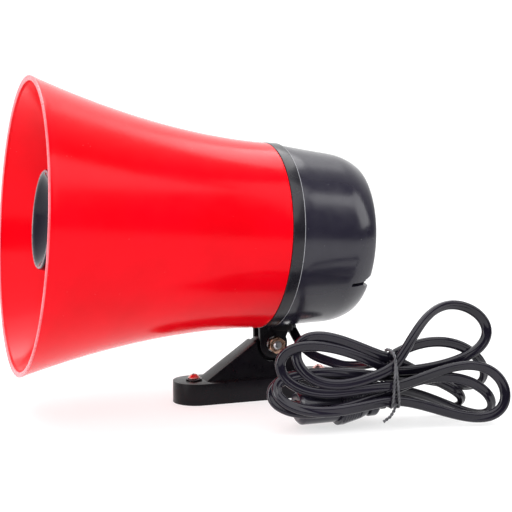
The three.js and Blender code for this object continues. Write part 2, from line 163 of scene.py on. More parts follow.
def surface(name, base, second, rough, grain=(900, 0.05, 0.0002), patch=26, metal=0.0, coat=0.0,
            coat_rough=0.1, dust=None, streak=None, specular=0.5, tint=(1, 1, 1), waves=None):
    """A plastic, rubber or metal finish: uneven colour and roughness, grain, and optional dust or streaks.

    grain is scale, strength and depth in metres; waves is the same for a broad unevenness. dust is scale, dot
    size and colour. streak is scale, stretch, strength, depth and colour share.
    """
    material = bpy.data.materials.new(name)
    material.use_nodes = True
    tree = material.node_tree
    shader = tree.nodes["Principled BSDF"]
    coords = tree.nodes.new("ShaderNodeTexCoord").outputs["Object"]
    cloud = noise(tree, coords, patch, 5)
    colour = blend_colour(tree, spread(tree, cloud, 0.36, 0.66, 0, 1), base, second)
    uneven = noise(tree, coords, patch * 5.5, 5, 0.65)
    roughness = spread(tree, uneven, 0.32, 0.7, *rough)
    normal = bump(tree, noise(tree, coords, grain[0], 3), grain[1], grain[2])
    if streak is not None:
        lines = noise(tree, coords, streak[0], 3, 0.5, streak[1])
        normal = bump(tree, lines, streak[2], streak[3], normal)
        colour = blend_colour(tree, spread(tree, lines, 0.45, 0.75, 0, streak[4]), colour, second)
    if waves is not None:
        normal = bump(tree, noise(tree, coords, waves[0], 1), waves[1], waves[2], normal)
    if dust is not None:
        dots = specks(tree, coords, dust[0], dust[1])
        colour = blend_colour(tree, dots, colour, dust[2])
    link(tree, colour, shader.inputs["Base Color"])
    link(tree, roughness, shader.inputs["Roughness"])
    link(tree, normal, shader.inputs["Normal"])
    shader.inputs["Metallic"].default_value = metal
    shader.inputs["Specular IOR Level"].default_value = specular
    shader.inputs["Specular Tint"].default_value = (*tint, 1)
    shader.inputs["Coat Weight"].default_value = coat
    shader.inputs["Coat Roughness"].default_value = coat_rough
    return material


RED = surface("red_plastic", (0.88, 0.0012, 0.009), (0.76, 0.001, 0.006), (0.13, 0.22),
              grain=(700, 0.03, 0.0002), patch=16, dust=(260, 0.05, (0.9, 0.35, 0.33)),
              waves=(38, 0.05, 0.001), specular=0.34, tint=(1, 0.25, 0.3))
# Painted highlight: the paler red that the bell rim's front faces get in make_bell.
BELL_RIM_HIGHLIGHT = surface("bell_rim_painted_highlight", (0.82, 0.15, 0.18), (0.76, 0.09, 0.11), (0.2, 0.4),
              grain=(900, 0.08, 0.0002), patch=60, specular=0.6)
GLOSS = surface("gloss_black", (0.013, 0.0115, 0.022), (0.020, 0.018, 0.030), (0.16, 0.27),
                grain=(800, 0.04, 0.0002), coat=0.12, coat_rough=0.1, specular=0.42,
                dust=(300, 0.09, (0.2, 0.2, 0.2)), waves=(42, 0.04, 0.001))
INNER = surface("inner_black", (0.008, 0.007, 0.011), (0.014, 0.013, 0.018), (0.18, 0.30),
                specular=0.4, dust=(320, 0.07, (0.12, 0.12, 0.12)))
# Painted highlight: the paler colour given to the cup's rim in make_cone.
CUP_RIM_HIGHLIGHT = surface("cup_rim_painted_highlight", (0.20, 0.14, 0.16), (0.12, 0.085, 0.10), (0.2, 0.35),
                   grain=(900, 0.06, 0.0002), patch=90)
CUP = surface("cup_black", (0.004, 0.0035, 0.008), (0.008, 0.007, 0.014), (0.08, 0.16),
              grain=(900, 0.04, 0.0002), specular=0.18, dust=(320, 0.07, (0.12, 0.12, 0.12)),
              waves=(50, 0.05, 0.001))
MATTE = surface("matte_black", (0.0022, 0.0016, 0.0032), (0.005, 0.0036, 0.0064), (0.24, 0.38),
                grain=(1700, 0.16, 0.0002), dust=(380, 0.06, (0.03, 0.026, 0.03)),
                waves=(60, 0.05, 0.001), specular=0.2)
FLEX = surface("flex_pvc", (0.006, 0.005, 0.010), (0.013, 0.011, 0.019), (0.09, 0.17),
               grain=(900, 0.04, 0.0001), patch=30, dust=(330, 0.07, (0.06, 0.06, 0.06)),
               specular=0.38, waves=(120, 0.03, 0.0005))
RUBBER = surface("rubber", (0.009, 0.0085, 0.012), (0.016, 0.015, 0.020), (0.42, 0.6),
                 grain=(1500, 0.2, 0.0002), dust=(330, 0.07, (0.06, 0.06, 0.06)), specular=0.4)
STEEL = surface("zinc_steel", (0.60, 0.60, 0.61), (0.46, 0.46, 0.48), (0.22, 0.42),
                grain=(1300, 0.12, 0.0002), metal=1.0, patch=90,
                streak=(240, (1.0, 14.0, 1.0), 0.15, 0.0001, 0.5))
COPPER = surface("copper_plated", (0.58, 0.37, 0.27), (0.32, 0.19, 0.13), (0.2, 0.36),
                 grain=(1400, 0.15, 0.0002), metal=1.0, patch=120, dust=(500, 0.12, (0.12, 0.07, 0.04)))
SCREW = surface("red_brass_screw", (0.80, 0.47, 0.44), (0.56, 0.28, 0.25), (0.24, 0.42),
                grain=(1400, 0.12, 0.0002), metal=1.0, patch=140)
WIRE = surface("tie_wire", (0.075, 0.075, 0.085), (0.15, 0.15, 0.16), (0.28, 0.45),
               grain=(1500, 0.15, 0.0002), patch=200, metal=0.7)
# Painted shade: the foot washers are darkened to stand for the shadow under the screw heads.
WASHER_SHADE_STEEL = surface("washer_steel_painted_shade", (0.10, 0.095, 0.10), (0.05, 0.048, 0.052), (0.28, 0.45),
                     grain=(1400, 0.15, 0.0002), metal=1.0, patch=150)
# Painted highlight: the pale grey of the thin ring that stands for the light caught along the seam between
# collar and cover.
SEAM_HIGHLIGHT = surface("seam_painted_highlight", (0.42, 0.42, 0.45), (0.33, 0.33, 0.36), (0.3, 0.45),
               grain=(1200, 0.1, 0.0001), patch=60)
FERRITE = surface("ferrite", (0.045, 0.044, 0.045), (0.07, 0.068, 0.066), (0.6, 0.8),
                  grain=(1200, 0.4, 0.0004))
BOARD = surface("circuit_board", (0.012, 0.10, 0.035), (0.02, 0.14, 0.05), (0.3, 0.45),
                grain=(900, 0.1, 0.0002), dust=(240, 0.16, (0.55, 0.5, 0.35)))
AMBER = surface("amber_film", (0.55, 0.30, 0.08), (0.62, 0.38, 0.12), (0.25, 0.4),
                grain=(500, 0.1, 0.0002))
WIRE_RED = surface("wire_red", (0.42, 0.012, 0.012), (0.33, 0.01, 0.01), (0.3, 0.45),
                   grain=(1200, 0.1, 0.0001))


# ---- Mesh helpers ----
def make(name, verts, faces, material, place=None, sharp=32):
    """A shown mesh from points in millimetres."""
    mesh = bpy.data.meshes.new(name)
    turn = place if place is not None else Matrix.Identity(4)
    mesh.from_pydata([(turn @ Vector(v)) * MM for v in verts], [], faces)
    mesh.validate()
    made = bpy.data.objects.new(name, mesh)
    bpy.context.scene.collection.objects.link(made)
    mesh.materials.append(material)
    smooth(made, sharp)
    return made


def smooth(item, sharp=32):
    item.data.shade_smooth()
    item.data.set_sharp_from_angle(angle=math.radians(sharp))


def applied(item):
    """Applies the modifiers to the mesh itself."""
    shown = item.evaluated_get(bpy.context.evaluated_depsgraph_get())
    fresh = bpy.data.meshes.new_from_object(shown)
    item.modifiers.clear()
    old = item.data
    item.data = fresh
    bpy.data.meshes.remove(old)
    return item


def bevelled(item, width, segments=3, angle=30):
    edges = item.modifiers.new("round", "BEVEL")
    edges.width = width * MM
    edges.segments = segments
    edges.limit_method = "ANGLE"
    edges.angle_limit = math.radians(angle)
    edges.miter_outer = "MITER_ARC"
    applied(item)
    smooth(item, 40)
    return item


def combined(item, other, operation):
    """item cut by or joined to other, which is then gone."""
    change = item.modifiers.new("cut", "BOOLEAN")
    change.operation = operation
    change.object = other
    change.solver = "EXACT"
    applied(item)
    bpy.data.objects.remove(other)
    return item


def cut(item, *others):
    for other in others:
        combined(item, other, "DIFFERENCE")
    smooth(item, 32)
    return item


def fillet(points, steps=4):
    """[x, r, radius] corners as [x, r] points with their corners rounded."""
    out = []
    count = len(points)
    for i, (x, r, radius) in enumerate(points):
        here = Vector((x, r))
        before, after = Vector(points[i - 1][:2]), Vector(points[(i + 1) % count][:2])
        if radius == 0:
            out.append(tuple(here))
            continue
        one, two = (before - here), (after - here)
        reach = min(radius, one.length * 0.48, two.length * 0.48)
        start, end = here + one.normalized() * reach, here + two.normalized() * reach
        for k in range(steps + 1):
            t = k / steps
            out.append(tuple((1 - t) ** 2 * start + 2 * t * (1 - t) * here + t * t * end))
    return out


def turned(name, profile, material, place=None, segments=96, closed=True, sharp=32, ripple=None):
    """A body of revolution about X from [x, r] points. An open profile starts and ends on the axis."""
    verts, faces = [], []
    for i in range(segments):
        a = 2 * math.pi * i / segments
        for x, r in profile:
            reach = r if ripple is None else ripple(x, r, a)
            verts.append((x, reach * math.cos(a), reach * math.sin(a)))
    n = len(profile)
    for i in range(segments):
        j = (i + 1) % segments
        for k in range(n if closed else n - 1):
            m = (k + 1) % n
            faces.append((i * n + k, i * n + m, j * n + m, j * n + k))
    made = make(name, verts, faces, material, place, sharp)
    tidy = bmesh.new()
    tidy.from_mesh(made.data)
    bmesh.ops.remove_doubles(tidy, verts=tidy.verts, dist=1e-7)
    bmesh.ops.dissolve_degenerate(tidy, edges=tidy.edges, dist=1e-7)
    bmesh.ops.recalc_face_normals(tidy, faces=tidy.faces)
    tidy.to_mesh(made.data)
    tidy.free()
    smooth(made, sharp)
    return made


def prism(name, outline, low, high, material, place=None, axis="Y"):
    """An outline in X and Z pushed from low to high along Y, or one in X and Y along Z."""
    n = len(outline)
    put = (lambda p, d: (p[0], d, p[1])) if axis == "Y" else (lambda p, d: (p[0], p[1], d))
    verts = [put(p, low) for p in outline] + [put(p, high) for p in outline]
    faces = [tuple(range(n)), tuple(range(2 * n - 1, n - 1, -1))]
    faces += [((i + 1) % n, i, n + i, n + (i + 1) % n) for i in range(n)]
    made = make(name, verts, faces, material, place)
    tidy = bmesh.new()
    tidy.from_mesh(made.data)
    bmesh.ops.recalc_face_normals(tidy, faces=tidy.faces)
    tidy.to_mesh(made.data)
    tidy.free()
    return made


def block(name, low, high, material, place=None):
    outline = [(low[0], low[2]), (high[0], low[2]), (high[0], high[2]), (low[0], high[2])]
    return prism(name, outline, low[1], high[1], material, place)


def rod(name, start, end, radius, material, place=None, segments=32):
    """A plain cylinder between two points."""
    a, b = Vector(start), Vector(end)
    turn = Vector((1, 0, 0)).rotation_difference(b - a).to_matrix().to_4x4()
    where = (place if place is not None else Matrix.Identity(4)) @ Matrix.Translation(a) @ turn
    length = (b - a).length
    profile = [(0, 0), (0, radius), (length, radius), (length, 0)]
    return turned(name, profile, material, where, segments, closed=False)


def tube(name, points, radius, material, sides):
    """A round tube with closed ends along a line of points."""
    line = np.array(points, float)
    _, across, upward = frames(line, Vector((0, 1, 0)))
    verts, faces = [], []
    for p, a, u in zip(line, across, upward):
        for i in range(sides):
            t = 2 * math.pi * i / sides
            verts.append(tuple(p + radius * (math.cos(t) * a + math.sin(t) * u)))
    rings = len(line)
    for i in range(rings - 1):
        for k in range(sides):
            m = (k + 1) % sides
            faces.append((i * sides + k, i * sides + m, (i + 1) * sides + m, (i + 1) * sides + k))
    faces += [tuple(range(sides - 1, -1, -1)), tuple(range((rings - 1) * sides, rings * sides))]
    return make(name, verts, faces, material, sharp=60)


def refined(node, material, width, segments=3, angle=30, name=None):
    """A CAD node's own shape with its edges rounded, shown in its place."""
    source = nodes[node]
    mesh = source.data.copy()
    mesh.materials.clear()
    mesh.materials.append(material)
    made = bpy.data.objects.new(name or f"{node}_look", mesh)
    bpy.context.scene.collection.objects.link(made)
    tidy = bmesh.new()
    tidy.from_mesh(mesh)
    bmesh.ops.remove_doubles(tidy, verts=tidy.verts, dist=2e-6)
    flat = math.radians(0.6)
    bmesh.ops.dissolve_limit(tidy, angle_limit=flat, verts=tidy.verts, edges=tidy.edges)
    bmesh.ops.recalc_face_normals(tidy, faces=tidy.faces)
    tidy.to_mesh(mesh)
    tidy.free()
    if "custom_normal" in mesh.attributes:
        mesh.attributes.remove(mesh.attributes["custom_normal"])
    return bevelled(made, width, segments, angle)


def paint_faces(item, material, place, chosen):
    """Gives a second material to the faces whose centre, in the place's own frame, is chosen."""
    item.data.materials.append(material)
    back = place.inverted()
    for face in item.data.polygons:
        if chosen(back @ (face.center / MM)):
            face.material_index = 1


def settle(item, body, slot, *stands_for):
    """Rides on the body and stands for CAD nodes. The slot is not used."""
    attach(item, body)
    if stands_for:
        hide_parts(*stands_for)
    return item


def paint(material, *names):
    """Gives a material to CAD nodes that stay as they are."""
    for name in names:
        item = nodes[name]
        item.data.materials.clear()
        item.data.materials.append(material)
        smooth(item, 30)


# ---- Flex ----
FLEX_WIDTH = 6.2
ROUTE_STEP = 2.5  # between the points while the route is eased
ROUTE_EASINGS = 6
FLEX_STEP = 2.0  # between the rings of the finished flex
# The flex's slow turning about itself: degrees, mm of run for one radian, phase.
SWAYS = ((24, 47.0, 0), (12, 23.0, 1.3))
TIE_WIRE = 0.48  # radius of each strand of the tie
HANK = Vector((43, -106, 0))  # the foot of the tie; the hank lies along SIDE, with BACK behind it
YAW = -0.1263
SIDE = Vector((math.cos(YAW), math.sin(YAW), 0))
BACK = Vector((-math.sin(YAW), math.cos(YAW), 0))

# From the gland to the hank.
LEAD = [(26.6, 4.7, 41.1), (27, 1.1, 38.2), (27.4, -6, 33.8), (28, -14, 31), (29.3, -26, 28.8),
        (31.5, -42, 28.6), (33, -60, 29), (35, -76, 31.5), (38, -89, 35.5)]
# Where the runs pass under the tie: height, and distance behind the hank's own plane.
SLOTS = {"lead": (39, 7.5), "a": (29, 7), "b": (21, 1.2), "c": (21, 11), "d": (17, -3), "e": (25, -2.5),
         "f": (33.5, 2.5), "g": (36, -3.5), "h": (41, 1.5)}
# Each loop: side, from slot, to slot, reach, rise, curl, half width, point, skew, bulge, hook, lean.
LOOPS = [
    (1, "lead", "a", 64, 19, -30, 11.5, 0.9, 3.6, 3, 2, -9),
    (-1, "a", "b", 70.5, -4.5, 1, 11.5, 1.4, -0.7, -6.5, 12.5, 0),
    (1, "b", "c", 65, 15, -30, 11, 1.1, 6, 3, -2, -7),
    (-1, "c", "d", 68, 11, -8, 11.5, 1.4, 8, -5, 4, 3),
    (1, "d", "e", 69, 4, -7, -20, 2.1, 0, -1, -3, 0),
    (-1, "e", "f", 64, 22, -18, -15, 1.4, -10, 1, 5, 0),
    (1, "f", "g", 59, 30, -2, -16.5, 0.9, 18.7, 2, 0, 0),
    (-1, "g", "h", 55.5, -4, 11, -16, 1.4, 2.7, 2, 4, 0),
]
# From the last loop round to the plug: along, height, behind.
TAIL = [(8, 37, 4.5), (18, 31.5, 7.5), (30, 25.5, 9.5), (41, 20, 11), (50, 14, 13), (52.5, 8.5, 16.5),
        (48, 5.2, 20), (40, 5, 21.6), (32, 8, 21.6), (26.5, 11.2, 21.4)]


def in_hank(along, height, behind):
    return HANK + along * SIDE + behind * BACK + Vector((0, 0, height))


def loop_points(side, start, end, reach, rise, curl, half, point, skew, bulge, hook, lean, steps=28):
    (z0, w0), (z1, w1) = SLOTS[start], SLOTS[end]
    out = []
    for i in range(1, steps):
        t = i / steps
        s = math.sin(math.pi * t) ** 2
        g = t - math.sin(2 * math.pi * t) / (2 * math.pi)
        h = math.sin(2 * math.pi * t)
        u = side * (reach * s + skew * h * s)
        z = z0 + (z1 - z0) * g + rise * s + curl * s * s + half * h * math.sin(math.pi * t) ** point
        w = w0 + (w1 - w0) * g + bulge * s + hook * s**4 + 0.2 * (z - 22) * s + lean * h * s
        out.append(in_hank(u, z, w))
    return out


def resampled(points, step):
    line = np.array([tuple(p) for p in points], float)
    run = np.r_[0, np.cumsum(np.linalg.norm(np.diff(line, axis=0), axis=1))]
    at = np.linspace(0, run[-1], int(round(run[-1] / step)) + 1)
    return np.stack([np.interp(at, run, line[:, i]) for i in range(3)], 1)


def flex_route():
    points = [Vector(p) for p in LEAD]
    for loop in LOOPS:
        points.append(in_hank(0, *SLOTS[loop[1]]))
        points += loop_points(*loop)
    points.append(in_hank(0, *SLOTS["h"]))
    points += [in_hank(*p) for p in TAIL]
    points.append(Vector(PLUG_END))
    line = resampled(points, ROUTE_STEP)
    for _ in range(ROUTE_EASINGS):
        eased = line.copy()
        eased[1:-1] = 0.5 * line[1:-1] + 0.25 * (line[:-2] + line[2:])
        line = eased
    return resampled(line, FLEX_STEP)


def frames(line, facing):
    """Directions along, across and out of a line.

    across turns smoothly along the line, towards the plane that faces the given way.
    """
    along = np.gradient(line, axis=0)
    along /= np.linalg.norm(along, axis=1)[:, None]
    facing = np.array(facing, float)
    across = np.zeros_like(line)
    last = np.cross(along[0], facing)
    for i, t in enumerate(along):
        last = last - (last @ t) * t
        wanted = np.cross(t, facing)
        size = np.linalg.norm(wanted)
        if size > 0.25:
            wanted /= size
            if wanted @ last < 0:
                wanted = -wanted
            last = last / np.linalg.norm(last) + 0.1 * size * wanted
        last = last / np.linalg.norm(last)
        across[i] = last
    return along, across, np.cross(along, across)


def flex_section():
    """The outline of a flat twin flex with a shallow groove between its cores: (across, out) pairs."""
    core = 1.8
    shift = FLEX_WIDTH / 2 - core
    turns = [math.radians(-96 + 16 * i) for i in range(13)]
    groove = [(0.55, 1.74), (0, 1.5)]
    half = [(shift + core * math.cos(a), core * math.sin(a)) for a in turns] + groove
    return half + [(-x, -y) for x, y in half]


def make_flex():
    line = flex_route()
    _, across, out = frames(line, BACK)
    section = flex_section()
    n = len(section)
    verts, faces = [], []
    for i, p in enumerate(line):
        run = i * FLEX_STEP
        ease = min(1.0, run / 60, (len(line) - i) * FLEX_STEP / 40)
        twist = ease * math.radians(sum(turn * math.sin(run / over + phase) for turn, over, phase in SWAYS))
        a = math.cos(twist) * across[i] + math.sin(twist) * out[i]
        o = math.cos(twist) * out[i] - math.sin(twist) * across[i]
        for x, y in section:
            verts.append(tuple(p + x * a + y * o))
    rings = len(line)
    for i in range(rings - 1):
        for k in range(n):
            m = (k + 1) % n
            faces.append((i * n + k, i * n + m, (i + 1) * n + m, (i + 1) * n + k))
    faces += [tuple(range(n - 1, -1, -1)), tuple(range((rings - 1) * n, rings * n))]
    return make("flex", verts, faces, FLEX, sharp=50), line


def twisted(points, pitch, apart):
    """Two lines wound round each other along a line of points, each the same way apart from its middle."""
    step = 0.5
    line = resampled(points, step)
    _, across, out = frames(line, Vector((0, 1, 0)))
    pair = []
    for phase in (0, math.pi):
        turn = 2 * math.pi * np.arange(len(line)) * step / pitch + phase
        pair.append(line + apart * (np.cos(turn)[:, None] * across + np.sin(turn)[:, None] * out))
    return pair


def smooth_loop(points):
    """A closed rounded line through the given points."""
    steps = 10
    pts = [Vector(p) for p in points]
    count = len(pts)
    out = []
    for i in range(count):
        a, b, c, d = pts[i - 1], pts[i], pts[(i + 1) % count], pts[(i + 2) % count]
        for k in range(steps):
            t = k / steps
            out.append(0.5 * ((2 * b) + (c - a) * t + (2 * a - 5 * b + 4 * c - d) * t * t
                              + (3 * b - a - 3 * c + d) * t**3))
    return out


def make_tie():
    """A wire wound twice round the hank's waist, its ends twisted together in front."""
    girth = [(-6.3, 40), (-6.9, 30), (-6.8, 20), (-5, 13.6), (1, 14), (8, 16), (13.8, 20), (14, 31), (11, 43),
             (4, 45.4), (-3, 44.6)]
    pieces = []
    for number, (lean, base) in enumerate(((-0.10, 1.4), (0.05, -0.6))):
        loop = [in_hank(base + lean * (z - 28), z, w) for w, z in girth]
        line = smooth_loop(loop)
        for k, strand in enumerate(twisted(line + [line[0]], pitch=5.5, apart=0.42)):
            pieces.append(tube(f"tie_turn_{number}_{k}", strand, TIE_WIRE, WIRE, 8))
    ends = [in_hank(*p) for p in ((0.4, 16, -6.9), (-1.0, 12.5, -8.2), (-3.6, 9.2, -9.0), (-7.6, 6.4, -8.8))]
    for k, strand in enumerate(twisted(ends, pitch=4.2, apart=0.5)):
        pieces.append(tube(f"tie_end_{k}", strand, TIE_WIRE, WIRE, 8))
    first = pieces[0]
    for other in pieces[1:]:
        other.parent = first
    return settle(first, "root", "zinc_steel", "cord_tie")


# ---- Horn ----
MOUTH_X = -113.7
BELL_LENGTH = 151.9
BELL_WALL = 2.5
NECK_RADIUS, FLARE, FLARE_POWER = 59.7, 30.3, 1.8


def bell_radius(behind_mouth):
    return NECK_RADIUS + FLARE * (1 - behind_mouth / BELL_LENGTH) ** FLARE_POWER


def make_bell():
    """The flared shell. Its rings lie closer together near the mouth, and the rim's front is painted a paler
    red as a highlight.
    """
    steps = 56
    stations = [BELL_LENGTH * (i / steps) ** 1.15 for i in range(steps + 1)]
    mouth = MOUTH_X
    outside = [(mouth + d, bell_radius(d)) for d in stations]
    inside = [(mouth + d, bell_radius(d) - BELL_WALL) for d in stations]
    inner_lip = [(mouth + 3.4, bell_radius(3.4) - BELL_WALL, 0), (mouth + 2.2, 86.7, 0.5),
                 (mouth + 0.25, 86.9, 0.4)]
    bead = [(mouth, 88.3, 0.5), (mouth + 0.3, 88.75, 0.2), (mouth, 89.2, 0.2)]
    lip = fillet(inner_lip + bead + [(mouth, 90, 0.35), (mouth + 1, 89.8, 0)], 3)
    neck = [(38.2, 57.6), (44, 57.6), (44, 55.4), (32.2, 55.4)]
    shoulder = fillet([(37, 59.75, 0), (38.2, 59.7, 0.35), (38.2, 58, 0)])
    outer = [p for p in outside if p[0] > mouth + 1.8][:-1] + shoulder
    inner = [p for p in inside if mouth + 4.4 < p[0] < 31]
    bell = turned("bell_shell", lip + outer + neck + inner[::-1], RED, HORN, 224, sharp=38)
    # Painted highlight: the faces on the rim's front get the paler red.
    paint_faces(bell, BELL_RIM_HIGHLIGHT, HORN, lambda p: p.x < mouth + 0.7)
    return settle(bell, "horn", "red_plastic", "bell")


def make_collar():
    """The black ring behind the bell, with a thin grey ring where it meets the cover that paints the seam's
    highlight.
    """
    profile = fillet([(38.5, 59.9, 0.45), (46, 59.9, 0.45), (46, 47, 0.3), (44.3, 47, 0.3), (44.3, 57.9, 0.2),
                      (38.5, 57.9, 0.3)])
    # Painted highlight: a thin pale grey ring stands for the light caught along the seam.
    line = fillet([(45.95, 58.6, 0), (45.95, 59.7, 0.12), (46.4, 59.55, 0.12), (46.4, 58.4, 0)], 2)
    settle(turned("seam_highlight_ring", line, SEAM_HIGHLIGHT, HORN, 192), "horn", "black_gloss")
    return settle(turned("collar_ring", profile, INNER, HORN, 192), "horn", "black_gloss", "neck_collar")


def lug_outline():
    """The side view of a clevis cheek: round about the bolt, and wider where it meets the cover."""
    x, z = HINGE_LOCAL
    radius, root, steps = 9.5, -57, 24
    start, end = math.radians(176), math.radians(389)
    bends = [start + (end - start) * i / steps for i in range(steps + 1)]
    arc = [(x + radius * math.cos(a), z + radius * math.sin(a)) for a in bends]
    return [(x - 10.6, root)] + arc + [(x + 10, z + radius), (x + 12, root)]


def make_cover():
    """The rounded rear cover with its rim notch, slot and flex hole, and the clevis below it."""
    cheek_thick = 3.1
    outside = [(46.3, 59, 0.45), (60.6, 57.4, 6), (74.9, 56, 6), (84, 55.2, 4), (89.3, 54, 2.6),
               (93.5, 52.4, 2), (96.6, 50.9, 1.6), (99.1, 49, 1.1), (99.1, 46.4, 0.5)]
    inside = [(93.2, 46.4, 0), (93.2, 44, 0), (90.5, 44, 0), (87, 51, 0), (80, 52.6, 0), (46.3, 56.5, 0)]
    cover = turned("cover_shell", fillet(outside + inside), GLOSS, HORN, 192)
    turn = HORN @ Matrix.Rotation(math.radians(-62), 4, "X")
    wedge = [(94.6, -2.2), (101, -5.4), (101, 5.4), (94.6, 2.2)]
    notch = prism("notch", wedge, -56, -42, GLOSS, turn, axis="Z")
    slot = block("slot", (84.5, -1.2, -60), (95, 1.2, -50.5), GLOSS, turn)
    hole = rod("hole", (64.7, 13.4, -62), (64.7, 13.4, -50), 2.6, GLOSS, HORN)
    cut(cover, notch, slot, hole)
    settle(cover, "horn", "black_gloss", "rear_cover")
    x, z = HINGE_LOCAL
    for name, low in (("far", 3.9), ("near", -7.0)):
        cheek = prism(f"cover_cheek_{name}", lug_outline(), low, low + cheek_thick, MATTE, HORN)
        pin = rod("pin", (x, -12, z), (x, 12, z), BOLT_HOLE, MATTE, HORN)
        cut(cheek, pin)
        bevelled(cheek, 0.45)
        settle(cheek, "horn", "black_matte")
    saddle = block("cover_saddle", (46.6, -7.6, -61.2), (x + 12.2, 7.6, -56.4), MATTE, HORN)
    bevelled(saddle, 0.7)
    settle(saddle, "horn", "black_matte")


def make_cone():
    """The cup in the mouth: a closed front dish whose rim is painted paler as a highlight, and a hollow back.
    """
    outside = [(-102.5, 29, 0.9), (-101.2, 30.4, 0.7), (-88, 31.5, 4), (-60, 35, 0), (-30, 39, 0),
               (0, 43.5, 0), (6, 44.5, 0.4)]
    inside = [(6.4, 42.4, 0.4), (-30, 36.8, 0), (-60, 32.8, 0), (-86, 29.4, 1), (-88.6, 22, 1), (-88.6, 0, 0)]
    dish = [(-91 - 10.6 * (r / 27.8) ** 2.4, r) for r in (0, 3, 6, 9, 12, 15, 18, 20.5, 23, 25, 26.6, 27.8)]
    profile = dish + fillet(outside + inside[:-1]) + [(-88.6, 0)]
    cone = turned("reflex_cup", profile, CUP, SOUND_PATH, 144, closed=False, sharp=40)
    # Painted highlight: the rim's faces get the paler colour.
    paint_faces(cone, CUP_RIM_HIGHLIGHT, SOUND_PATH, lambda p: p.x < -101.6 and math.hypot(p.y, p.z) > 28.2)
    return settle(cone, "horn", "black_gloss", "reflex_cone")


def make_sound_path():
    """The folded way for the sound: a tube, three struts and a ring-shaped trough that turns it back."""
    tube_outside = [(55.7, 11), (30, 11), (-10, 11), (-30, 11.7), (-50, 12.5), (-62, 14), (-71.4, 16)]
    tube_inside = [(-71.6, 14.4), (-62, 12.2), (-50, 10.6), (-30, 9.7), (-10, 9), (55.7, 9)]
    tube_profile = tube_outside + [(-72, 15.6)] + tube_inside
    settle(turned("sound_tube", tube_profile, INNER, SOUND_PATH, 72), "horn", "black_gloss", "tone_tube")
    for i in (1, 2, 3):
        settle(refined(f"cone_strut_{i}", INNER, 0.4), "horn", "black_gloss", f"cone_strut_{i}")
    bends = [math.pi * i / 20 for i in range(21)]
    face = [(43 + 10 * math.sin(b), 28.5 - 13.2 * math.cos(b)) for b in bends] + [(42, 46), (41.8, 55)]
    back = [(44, 55), (44, 46)] + [(43 + 11.9 * math.sin(b), 28.5 - 15.1 * math.cos(b)) for b in bends[::-1]]
    hub = [(43, 11.3), (41.5, 11.3), (41.5, 15.3)]
    trough = turned("sound_trough", face + back + hub, INNER, HORN, 96)
    settle(trough, "horn", "black_gloss", "neck_reflector")


def make_gland():
    """The ribbed rubber nose that the flex leaves through."""
    aim = Vector((0.37, -0.75, -0.55)).normalized()
    turn = Vector((1, 0, 0)).rotation_difference(aim).to_matrix().to_4x4()
    place = HORN @ Matrix.Translation((64.7, 13.4, -55.9)) @ turn
    profile = [(-3, 0), (-3, 4.8)]
    for rib in range(4):
        x, r = 0.4 + rib * 2.3, 4.7 - rib * 0.28
        profile += [(x, r), (x + 0.35, r - 0.55), (x + 1.15, r - 0.6), (x + 1.5, r - 0.06)]
    profile += [(10.3, 3.65), (10.9, 3.3), (11, 2.9), (11, 0)]
    nose = turned("cable_nose", profile, RUBBER, place, 48, closed=False, sharp=48)
    return settle(nose, "horn", "black_rubber", "cable_gland")


# ---- Rear panel and controls ----
def screw_head(name, place, head_r, height, material, body, slot, node, length=8.0, shank=1.4):
    """A cross-recessed dome-headed screw along +X from the surface at x = 0."""
    radii = [0, 0.25 * head_r, 0.5 * head_r, 0.7 * head_r, 0.84 * head_r, 0.94 * head_r]
    dome = [(height * (1 - (r / head_r) ** 2.4) + 0.05, r) for r in radii]
    profile = [(-length, 0), (-length, shank), (0, shank), (0, head_r), (0.35, head_r)] + dome[::-1]
    head = turned(name, profile, material, place, 48, closed=False, sharp=34)
    reach = head_r * 0.55
    for k in range(2):
        turn = place @ Matrix.Rotation(math.radians(45 + 90 * k), 4, "X")
        low = (height * 0.35, -reach, -head_r * 0.12)
        high = (height * 2 + 1, reach, head_r * 0.12)
        cut(head, block("arm", low, high, material, turn))
    return settle(head, body, slot, node)


